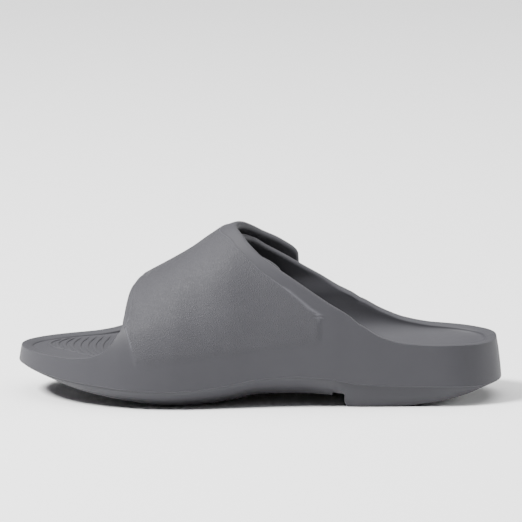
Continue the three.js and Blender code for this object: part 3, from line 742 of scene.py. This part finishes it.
def rib_loop():
    """The ribs round the sole: heel, lateral side, toe and medial side, back to the heel."""
    stations = []
    for start, end, steps in STATIONS:
        first = 1 if stations else 0
        stations += [mix(start, end, i / steps) for i in range(first, steps + 1)]
    angles = [i / FAN_STEPS * math.pi / 2 for i in range(1, 2 * FAN_STEPS)]
    toe = [FanRib(TOE_POLE, 1, angle) for angle in angles]
    heel = [FanRib(HEEL_POLE, 0, angle) for angle in reversed(angles)]
    lateral = [StraightRib(at, LATERAL) for at in stations]
    medial = [StraightRib(at, MEDIAL) for at in reversed(stations)]
    return lateral + toe + medial + heel


def edge_arc(pair, outwards):
    """The half round that closes an edge between its outer and its inner point."""
    middle = pair.middle()
    across = pair.outer - middle
    bulge = pair.flatness * across.length
    arc = [pair.outer]
    for k in range(1, RIM_STEPS):
        turn = k / RIM_STEPS * math.pi
        arc.append(middle + across * math.cos(turn) + outwards * bulge * math.sin(turn))
    return arc + [pair.inner]


def front_of(side):
    return LATERAL_FRONT if side == LATERAL else MEDIAL_FRONT


def base_side(rib):
    """The side whose flap rises from this rib, or None."""
    if STRAP_REAR - STATION_SLACK < rib.at < front_of(rib.side) + STATION_SLACK:
        return rib.side
    return None


def flap_edge(grid):
    rear = [row[0] for row in grid]
    end = grid[-1][1:-1]
    front = [row[-1] for row in reversed(grid)]
    return rear + end + front


def moulding_skin():
    skin = Skin()
    ribs = rib_loop()
    closed = ribs + ribs[:1]
    skin.grid([bed_curve(rib) for rib in closed])
    outsides = [outside_curve(rib) for rib in closed]
    skin.grid([points for points, _ in outsides], weights=[weights for _, weights in outsides])
    grids = {}
    for flap in (outer_flap, inner_flap):
        side = flap.side
        on_side = [rib.at for rib in ribs if base_side(rib) == side]
        span = front_of(side) - STRAP_REAR
        base_shares = sorted((at - STRAP_REAR) / span for at in on_side)
        grid = flap_grid(flap, base_shares)
        flipped = side == MEDIAL
        weights = [[pair.weight for pair in row] for row in grid]
        skin.grid([[pair.outer for pair in row] for row in grid], flipped, weights)
        skin.grid([[pair.inner for pair in row] for row in grid], not flipped)
        grids[side] = grid
    loop = []
    placed = None
    for rib in ribs:
        side = base_side(rib)
        if side is None:
            loop.append(rim_pair(rib)[0])
        elif placed != side:
            edge = flap_edge(grids[side])
            loop += edge if side == LATERAL else edge[::-1]
            placed = side
    arcs = []
    for i, pair in enumerate(loop):
        along = loop[(i + 1) % len(loop)].middle() - loop[i - 1].middle()
        outwards = along.cross(pair.outer - pair.inner).normalized()
        arcs.append(edge_arc(pair, outwards))
    skin.grid(arcs + arcs[:1], True)
    return skin


def add_object(name, data):
    added = bpy.data.objects.new(name, data)
    bpy.context.scene.collection.objects.link(added)
    return added


def link(name, mesh, material):
    piece = add_object(name, mesh)
    mesh.materials.append(material)
    return piece


def flex_groove(shift):
    """The cutter for the groove in front of the heel pad, with the pad's rounded corner."""
    rear = x_at(HEEL_PAD_FRONT)
    front = rear - FLEX_GROOVE_WIDTH
    start = (rear + HEEL_PAD_CORNER + GROOVE_OVERRUN, -GROOVE_OVERRUN)
    pull = (rear, 0)
    end = (rear, HEEL_PAD_CORNER + 1)
    profile = [(front, -GROOVE_OVERRUN), start]
    for k in range(1, PAD_CORNER_STEPS + 1):
        s = k / PAD_CORNER_STEPS
        profile.append(tuple(
            (1 - s) ** 2 * a + 2 * s * (1 - s) * b + s * s * c
            for a, b, c in zip(start, pull, end)
        ))
    z = FLEX_GROOVE_HEIGHT - GROOVE_ROUND
    for x, first in ((rear - GROOVE_ROUND, 0), (front + GROOVE_ROUND, 90)):
        for turn in range(first, first + 91, 15):
            angle = math.radians(turn)
            profile.append((
                x + GROOVE_ROUND * math.cos(angle),
                z + GROOVE_ROUND * math.sin(angle),
            ))
    cutter = bmesh.new()
    sides = []
    for y in (-BALL_WIDTH, BALL_WIDTH):
        sides.append([cutter.verts.new((Vector((x, y, z)) + shift) * MM) for x, z in profile])
    near, far = sides
    cutter.faces.new(near)
    cutter.faces.new(far[::-1])
    for i in range(len(near)):
        cutter.faces.new((near[i - 1], far[i - 1], far[i], near[i]))
    bmesh.ops.recalc_face_normals(cutter, faces=cutter.faces)
    mesh = bpy.data.meshes.new("flex_groove")
    cutter.to_mesh(mesh)
    cutter.free()
    return add_object("flex_groove", mesh)


def settle(piece):
    """Turns a piece with modifiers into a plain mesh."""
    graph = bpy.context.evaluated_depsgraph_get()
    mesh = bpy.data.meshes.new_from_object(piece.evaluated_get(graph))
    piece.modifiers.clear()
    piece.data = mesh
    return piece


def pad_mesh(name, flap, shares, low, high, shift):
    """A slab between two distances from the outer face of the inner flap."""
    skin = Skin()
    ups, alongs = shares

    def layer(distance, inset):
        rows = []
        for i in range(PAD_STEPS[0] + 1):
            up = mix(ups[0] + inset, ups[1] - inset, i / PAD_STEPS[0])
            edges = flap.edges(up)
            row = []
            for j in range(PAD_STEPS[1] + 1):
                along = mix(alongs[0] + inset, alongs[1] - inset, j / PAD_STEPS[1])
                x = x_at(mix(*edges, along))
                around = flap.around(x, up)
                rib, share = dome_rib(x, around)
                lift = flap_lift(x, around) - FLAP_STACK + distance
                row.append(rib.wall_point(share) + rib.wall_normal(share) * lift)
            rows.append(row)
        return rows if flap.side == LATERAL else rows[::-1]

    def rim(rows):
        right = [row[-1] for row in rows[:-1]]
        left = [row[0] for row in rows[1:]]
        return rows[0][:-1] + right + rows[-1][:0:-1] + left[::-1]

    quarter = (high - low) / 4
    layers = [
        layer(low, PAD_EASING),
        layer(low + quarter, 0),
        layer(high - quarter, 0),
        layer(high, PAD_EASING),
    ]
    skin.grid(layers[-1])
    skin.grid(layers[0], True)
    rims = [rim(rows) for rows in layers]
    skin.grid([ring + ring[:1] for ring in rims])
    return skin.mesh(name, shift)


class Tree:
    """A node tree with short calls to add a node, set its values and link its inputs."""

    def __init__(self, tree):
        self.tree = tree

    def add(self, kind, settings=None, **inputs):
        node = self.tree.nodes.new(kind)
        for name, value in (settings or {}).items():
            setattr(node, name, value)
        for name, value in inputs.items():
            self.feed(node, name.replace("_", " "), value)
        return node

    def feed(self, node, name, value):
        socket = node.inputs[int(name)] if name.isdigit() else node.inputs[name]
        if isinstance(value, bpy.types.NodeSocket):
            self.tree.links.new(value, socket)
        elif isinstance(value, bpy.types.Node):
            self.tree.links.new(value.outputs[0], socket)
        else:
            socket.default_value = value

    def operate(self, kind, operation, a, b):
        node = self.add(kind, {"operation": operation})
        self.feed(node, "0", a)
        self.feed(node, "1", b)
        return node.outputs[0]

    def math(self, operation, a, b):
        return self.operate("ShaderNodeMath", operation, a, b)

    def vector_math(self, operation, a, b):
        return self.operate("ShaderNodeVectorMath", operation, a, b)

    def bump(self, height, strength, depth, normal=None):
        node = self.add("ShaderNodeBump", Height=height, Strength=strength, Distance=depth)
        if normal is not None:
            self.feed(node, "Normal", normal)
        return node.outputs[0]

    def scaled(self, vector, scale):
        node = self.add("ShaderNodeVectorMath", {"operation": "SCALE"}, Scale=scale)
        self.feed(node, "0", vector)
        return node.outputs[0]


def material(name, colour, roughness):
    made = bpy.data.materials.new(name)
    made.use_nodes = True
    tree = Tree(made.node_tree)
    shader = made.node_tree.nodes["Principled BSDF"]
    shader.inputs["Base Color"].default_value = (*colour, 1)
    shader.inputs["Roughness"].default_value = roughness
    return made, tree, shader


def foam_material():
    made, tree, shader = material("moulded_foam", FOAM_COLOUR, 0.58)
    place = tree.add("ShaderNodeTexCoord").outputs["Object"]
    mottle = tree.add("ShaderNodeTexNoise", Vector=place, Scale=1 / MOTTLE_SIZE, Detail=3.0)
    tint = tree.add("ShaderNodeMix", {"data_type": "RGBA"})
    tree.feed(tint, "0", mottle.outputs["Fac"])
    tint.inputs[6].default_value = (*FOAM_DARKER, 1)
    tint.inputs[7].default_value = (*FOAM_COLOUR, 1)

    fine = tree.add("ShaderNodeTexNoise", Vector=place, Scale=1 / SKIN_SIZE, Detail=2.0)
    gloss = tree.add("ShaderNodeMapRange", Value=fine.outputs["Fac"], To_Min=0.5, To_Max=0.66)
    tree.feed(shader, "Roughness", gloss.outputs[0])

    warp = tree.add("ShaderNodeTexNoise", Vector=place, Scale=0.4 / GRAIN_SIZE, Detail=2.0)
    moved = tree.scaled(warp.outputs["Color"], 0.9 * GRAIN_SIZE)
    warped = tree.vector_math("ADD", place, moved)
    pebbles = tree.add(
        "ShaderNodeTexVoronoi", {"feature": "DISTANCE_TO_EDGE"},
        Vector=warped, Scale=1 / GRAIN_SIZE, Randomness=1.0,
    )
    crown = tree.add(
        "ShaderNodeMapRange", {"interpolation_type": "SMOOTHSTEP"},
        Value=pebbles.outputs["Distance"], From_Max=0.35,
    )
    panel = tree.add("ShaderNodeAttribute", {"attribute_name": "panel"})
    weight = panel.outputs["Fac"]
    grain = tree.math("MULTIPLY", crown.outputs[0], weight)

    # The panel's border: a thin bead where the panel's weight is half way, except along its
    # soft lower border. Its lighter colour is a painted highlight, shown only above a sloped
    # height.
    axes = tree.add("ShaderNodeSeparateXYZ", Vector=place)
    lowered = tree.math("MULTIPLY", axes.outputs["X"], BEAD_FADE_SLOPE)
    sloped = tree.math("SUBTRACT", axes.outputs["Z"], lowered)
    low, high = BEAD_FADE
    over = tree.add("ShaderNodeMapRange", Value=sloped, From_Min=low, From_Max=high)
    between = tree.math("MULTIPLY", weight, tree.math("SUBTRACT", 1.0, weight))
    ridge = tree.math("POWER", tree.math("MULTIPLY", between, 4.0), 2.0)
    bead = tree.math("MULTIPLY", ridge, over.outputs[0])
    # Painted highlight: the bead lightens the base colour where the border would catch light
    painted_highlight = tree.math("ADD", tree.math("MULTIPLY", bead, BEAD_HIGHLIGHT), 1.0)
    tree.feed(shader, "Base Color", tree.scaled(tint.outputs[2], painted_highlight))

    relief = tree.bump(fine.outputs["Fac"], 0.35, SKIN_DEPTH)
    relief = tree.bump(grain, 0.75, GRAIN_DEPTH, relief)
    tree.feed(shader, "Normal", tree.bump(bead, 0.7, BEAD_DEPTH, relief))
    shader.inputs["Specular IOR Level"].default_value = 0.26
    shader.inputs["Sheen Weight"].default_value = 0.05
    shader.inputs["Sheen Roughness"].default_value = 0.5
    return made


def tape_material(name, colour, size, depth):
    """Hook or loop tape: a dense field of small tufts, with painted shade in the hollows between
    them.
    """
    made, tree, shader = material(name, colour, 0.9)
    place = tree.add("ShaderNodeTexCoord").outputs["Object"]
    tufts = tree.add("ShaderNodeTexVoronoi", Vector=place, Scale=1 / size, Randomness=0.7)
    fuzz = tree.add("ShaderNodeTexNoise", Vector=place, Scale=3 / size, Detail=4.0)
    height = tree.math("SUBTRACT", fuzz.outputs["Fac"], tufts.outputs["Distance"])
    tree.feed(shader, "Normal", tree.bump(height, 0.8, depth))
    # Painted shade: the colour is lighter on each tuft's top and darker in the hollows between
    # tufts
    apart = tufts.outputs["Distance"]
    shade = tree.add("ShaderNodeMapRange", Value=apart, To_Min=1.2, To_Max=0.6)
    tree.feed(shader, "Base Color", tree.scaled(colour, shade.outputs[0]))
    shader.inputs["Sheen Weight"].default_value = 0.06
    shader.inputs["Specular IOR Level"].default_value = 0.2
    return made


def rib_arcs(tree, size, shift):
    """Arcs round centres that move back from the toe, each wider than the one before."""
    first = (Vector((*BED_RIB_FIRST, 0)) + Vector((shift.x, shift.y, 0))) * MM
    pitch = tree.add("ShaderNodeCombineXYZ", X=size["Pitch"])
    line = tree.add(
        "GeometryNodeMeshLine", Count=size["Count"], Start_Location=first, Offset=pitch,
    )
    index = tree.add("GeometryNodeInputIndex")
    grown = tree.math("MULTIPLY", index, size["Radius Step"])
    radius = tree.math("ADD", grown, size["First Radius"])
    back = tree.add("ShaderNodeCombineXYZ", X=radius)
    centres = tree.add("GeometryNodeSetPosition", Geometry=line, Offset=back)
    start, sweep = (math.radians(angle) for angle in BED_RIB_SWEEP)
    arc = tree.add(
        "GeometryNodeCurveArc", {"mode": "RADIUS"},
        Resolution=BED_RIB_POINTS, Radius=1.0, Start_Angle=start, Sweep_Angle=sweep,
    )
    scale = tree.add("ShaderNodeCombineXYZ", X=radius, Y=radius, Z=radius)
    placed = tree.add("GeometryNodeInstanceOnPoints", Points=centres, Instance=arc, Scale=scale)
    return tree.add("GeometryNodeRealizeInstances", Geometry=placed)


def dropped_on_bed(tree, arcs, body):
    """The arcs dropped on the foot bed, without the points that miss its level part."""
    bed = tree.add("GeometryNodeObjectInfo", Object=body)
    here = tree.add("GeometryNodeInputPosition")
    cast = tree.add(
        "GeometryNodeRaycast", {"data_type": "FLOAT"},
        Target_Geometry=bed.outputs["Geometry"],
        Source_Position=tree.vector_math("ADD", here, (0, 0, CAST_HEIGHT * MM)),
        Ray_Direction=(0, 0, -1), Ray_Length=CAST_REACH * MM,
    )
    place = cast.outputs["Hit Position"]
    normal = tree.add("ShaderNodeSeparateXYZ", Vector=cast.outputs["Hit Normal"])
    hit = tree.add("ShaderNodeSeparateXYZ", Vector=place)
    level = tree.math("GREATER_THAN", normal.outputs["Z"], BED_LEVEL)
    low = tree.math("LESS_THAN", hit.outputs["Z"], (BED_HEIGHT - BED_CLEARANCE) * MM)
    inside = tree.math("MULTIPLY", level, low)
    found = tree.math("MULTIPLY", inside, cast.outputs["Is Hit"])
    kept = tree.add(
        "GeometryNodeDeleteGeometry", {"domain": "POINT"},
        Geometry=arcs, Selection=tree.math("LESS_THAN", found, 0.5),
    )
    return tree.add("GeometryNodeSetPosition", Geometry=kept, Position=place)


def beads_along(tree, lines, size):
    """Each line swept into a flattened bead that thins towards both ends."""
    eased = tree.add("GeometryNodeResampleCurve", Curve=lines, Count=BED_RIB_SECTIONS)
    factor = tree.add("GeometryNodeSplineParameter").outputs["Factor"]
    from_end = tree.math("MINIMUM", factor, tree.math("SUBTRACT", 1.0, factor))
    taper = tree.add(
        "ShaderNodeMapRange", {"interpolation_type": "SMOOTHSTEP"},
        Value=from_end, From_Max=BED_RIB_TAPER, To_Min=BED_RIB_TIP,
    )
    swept = tree.add("GeometryNodeSetCurveRadius", Curve=eased, Radius=taper.outputs[0])
    upright = tree.add("GeometryNodeSetCurveNormal", {"mode": "Z_UP"}, Curve=swept)
    half = tree.math("MULTIPLY", size["Width"], 0.5)
    ring = tree.add("GeometryNodeCurvePrimitiveCircle", Resolution=BED_RIB_ROUND, Radius=half)
    flat = tree.math("DIVIDE", size["Height"], half)
    flatter = tree.add("ShaderNodeCombineXYZ", X=1.0, Y=flat, Z=1.0)
    profile = tree.add("GeometryNodeTransform", Geometry=ring, Scale=flatter)
    mesh = tree.add(
        "GeometryNodeCurveToMesh", Curve=upright, Profile_Curve=profile, Fill_Caps=True,
    )
    if "Scale" in mesh.inputs:
        tree.feed(mesh, "Scale", tree.add("GeometryNodeInputRadius"))
    return mesh


def toe_bed_ribs(body, foam, shift):
    """Curved ribs laid on the foot bed by Geometry Nodes, each a flattened bead."""
    group = bpy.data.node_groups.new("toe_bed_ribs", "GeometryNodeTree")
    sockets = group.interface
    sockets.new_socket("Geometry", in_out="OUTPUT", socket_type="NodeSocketGeometry")
    sizes = {
        "Count": ("NodeSocketInt", BED_RIB_COUNT),
        "Pitch": ("NodeSocketFloat", BED_RIB_PITCH * MM),
        "First Radius": ("NodeSocketFloat", BED_RIB_RADIUS * MM),
        "Radius Step": ("NodeSocketFloat", BED_RIB_RADIUS_STEP * MM),
        "Width": ("NodeSocketFloat", BED_RIB_WIDTH * MM),
        "Height": ("NodeSocketFloat", BED_RIB_HEIGHT * MM),
    }
    keys = {}
    for name, (kind, _) in sizes.items():
        keys[name] = sockets.new_socket(name, in_out="INPUT", socket_type=kind).identifier
    tree = Tree(group)
    given = tree.add("NodeGroupInput")
    size = {name: given.outputs[name] for name in sizes}
    arcs = rib_arcs(tree, size, shift)
    beads = beads_along(tree, dropped_on_bed(tree, arcs, body), size)
    whole = tree.add("GeometryNodeRealizeInstances", Geometry=beads)
    smoothed = tree.add("GeometryNodeSetShadeSmooth", Geometry=whole)
    finished = tree.add("GeometryNodeSetMaterial", Geometry=smoothed, Material=foam)
    tree.add("NodeGroupOutput", Geometry=finished)

    piece = add_object("toe_bed_ribs", bpy.data.meshes.new("toe_bed_ribs"))
    ribs = piece.modifiers.new("ribs", "NODES")
    ribs.node_group = group
    for name, (_, value) in sizes.items():
        ribs[keys[name]] = value
    return settle(piece)


def add_camera(shift):
    data = bpy.data.cameras.new("camera")
    data.lens = CAMERA_LENS
    data.sensor_width = CAMERA_SENSOR
    camera = add_object("camera", data)
    level = math.cos(CAMERA_ELEVATION)
    back = Vector((
        math.sin(CAMERA_AZIMUTH) * level,
        -math.cos(CAMERA_AZIMUTH) * level,
        math.sin(CAMERA_ELEVATION),
    ))
    camera.location = (CAMERA_AIM + shift + back * CAMERA_DISTANCE) * MM
    camera.rotation_euler = back.to_track_quat("Z", "Y").to_euler()
    bpy.context.scene.camera = camera


def add_light(name, place, aim, size, power):
    data = bpy.data.lights.new(name, "AREA")
    data.shape = "RECTANGLE"
    data.size, data.size_y = size
    data.energy = power
    light = add_object(name, data)
    light.location = place
    direction = Vector(aim) - Vector(place)
    light.rotation_euler = direction.to_track_quat("-Z", "Y").to_euler()


def add_floor():
    reach = FLOOR_REACH
    mesh = bpy.data.meshes.new("floor")
    corners = [(-reach, -reach, 0), (reach, -reach, 0), (reach, reach, 0), (-reach, reach, 0)]
    mesh.from_pydata(corners, [], [(0, 1, 2, 3)])
    made, tree, shader = material("floor_paper", (0.9, 0.9, 0.9), 0.9)
    place = tree.add("ShaderNodeTexCoord").outputs["Object"]
    fibre = tree.add("ShaderNodeTexNoise", Vector=place, Scale=FIBRE_SCALE, Detail=3.0)
    tree.feed(shader, "Normal", tree.bump(fibre.outputs["Fac"], 0.1, 0.1 * MM))
    shader.inputs["Specular IOR Level"].default_value = 0.1
    link("floor", mesh, made)


def add_studio():
    world = bpy.data.worlds.new("studio")
    bpy.context.scene.world = world
    world.use_nodes = True
    sky = world.node_tree.nodes["Background"]
    sky.inputs["Color"].default_value = (1, 1, 1, 1)
    sky.inputs["Strength"].default_value = SKY_STRENGTH
    for light in STUDIO_LIGHTS:
        add_light(*light)


def finish_piece(piece, node=None):
    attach(piece, "root")
    if node:
        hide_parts(node)


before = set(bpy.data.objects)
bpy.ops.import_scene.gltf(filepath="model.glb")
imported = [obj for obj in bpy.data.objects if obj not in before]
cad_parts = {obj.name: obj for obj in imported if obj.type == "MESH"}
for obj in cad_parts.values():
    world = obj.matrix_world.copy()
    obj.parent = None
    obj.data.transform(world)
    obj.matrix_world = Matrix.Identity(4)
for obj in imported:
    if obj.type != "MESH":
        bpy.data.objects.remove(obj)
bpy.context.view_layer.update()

skin = moulding_skin()
low = Vector([min(p[k] for p in skin.points) for k in range(3)])
high = Vector([max(p[k] for p in skin.points) for k in range(3)])
cad_low, cad_high = (Vector(corner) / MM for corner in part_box("moulded_sandal"))
shift = (cad_low + cad_high) / 2 - (low + high) / 2
shift.z = cad_low.z - low.z

foam = foam_material()
moulding = link("moulded_foam_sandal", skin.mesh("moulded_foam_sandal", shift), foam)
cutter = flex_groove(shift)
groove = moulding.modifiers.new("flex_groove", "BOOLEAN")
groove.object = cutter
groove.operation = "DIFFERENCE"
groove.solver = "EXACT"
settle(moulding)
bpy.data.objects.remove(cutter)
moulding.data.set_sharp_from_angle(angle=SHARP_ANGLE)

ribs = toe_bed_ribs(moulding, foam, shift)
finish_piece(moulding, "moulded_sandal")
finish_piece(ribs)

loop_tape = tape_material("loop_tape", (0.03, 0.03, 0.034), 0.7 * MM, 0.3 * MM)
hook_tape = tape_material("hook_tape", (0.014, 0.014, 0.016), 1.1 * MM, 0.4 * MM)
loop_top = PAD_SEAT + PAD_THICKNESS
hook_low = loop_top + PAD_SEAT
hook_top = hook_low + PAD_THICKNESS
loops = pad_mesh("loop_tape_pad", inner_flap, LOOP_PAD, PAD_SEAT, loop_top, shift)
hooks = pad_mesh("hook_tape_pad", outer_flap, HOOK_PAD, hook_low, hook_top, shift)
finish_piece(link("loop_tape_pad", loops, loop_tape), "loop_pad")
finish_piece(link("hook_tape_pad", hooks, hook_tape), "hook_pad")

add_camera(shift)
add_floor()
add_studio()
